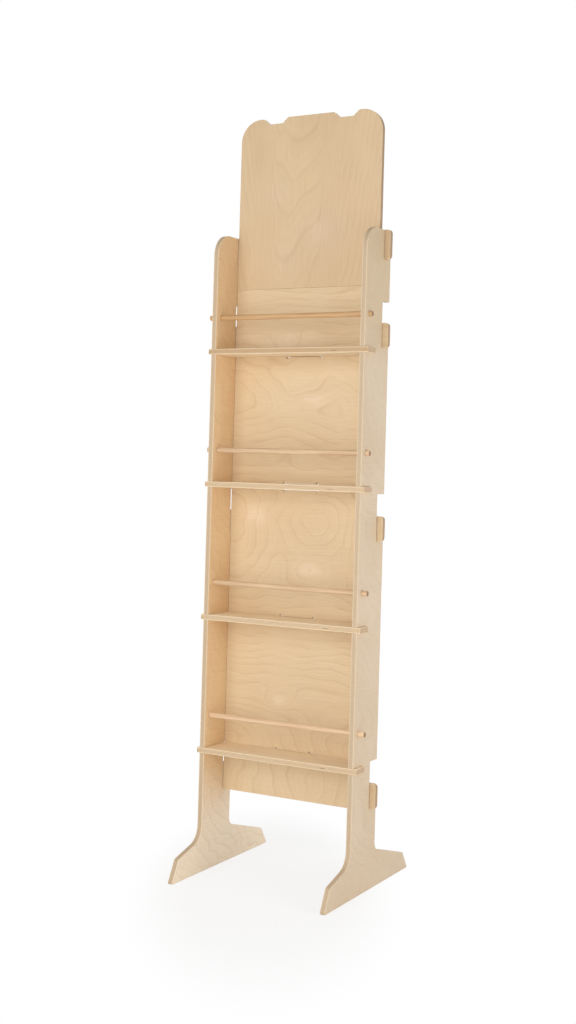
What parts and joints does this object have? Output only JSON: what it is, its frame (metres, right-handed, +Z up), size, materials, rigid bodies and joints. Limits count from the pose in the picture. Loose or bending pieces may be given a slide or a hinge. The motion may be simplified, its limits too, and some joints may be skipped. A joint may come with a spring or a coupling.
{
  "type": "plywood display stand",
  "caption": "Knock-down plywood floor display stand: T-footed side panels carry a hung back panel, a tall header board and slotted-in shelves with round retaining rails.",
  "frame": {"origin": "on the floor, midway between the side panels and midway along the feet", "axes": "+Z up; the front, with the rails, faces -Y; +X is to the right for someone who stands before the front and looks along +Y"},
  "size_m": [0.4155, 0.4145, 1.714],
  "materials": {
    "birch_plywood": "matt, clear-oiled or raw birch face veneer with layered edges",
    "round_rod": "matt turned hardwood rod"
  },
  "bodies": {
    "root": {"side_panel_left": "birch_plywood", "side_panel_right": "birch_plywood", "header_board": "birch_plywood", "back_panel": "birch_plywood", "shelf_1": "birch_plywood", "shelf_2": "birch_plywood", "shelf_3": "birch_plywood", "shelf_4": "birch_plywood", "rail_1": "round_rod", "rail_2": "round_rod", "rail_3": "round_rod", "rail_4": "round_rod"}
  },
  "joints": []
}
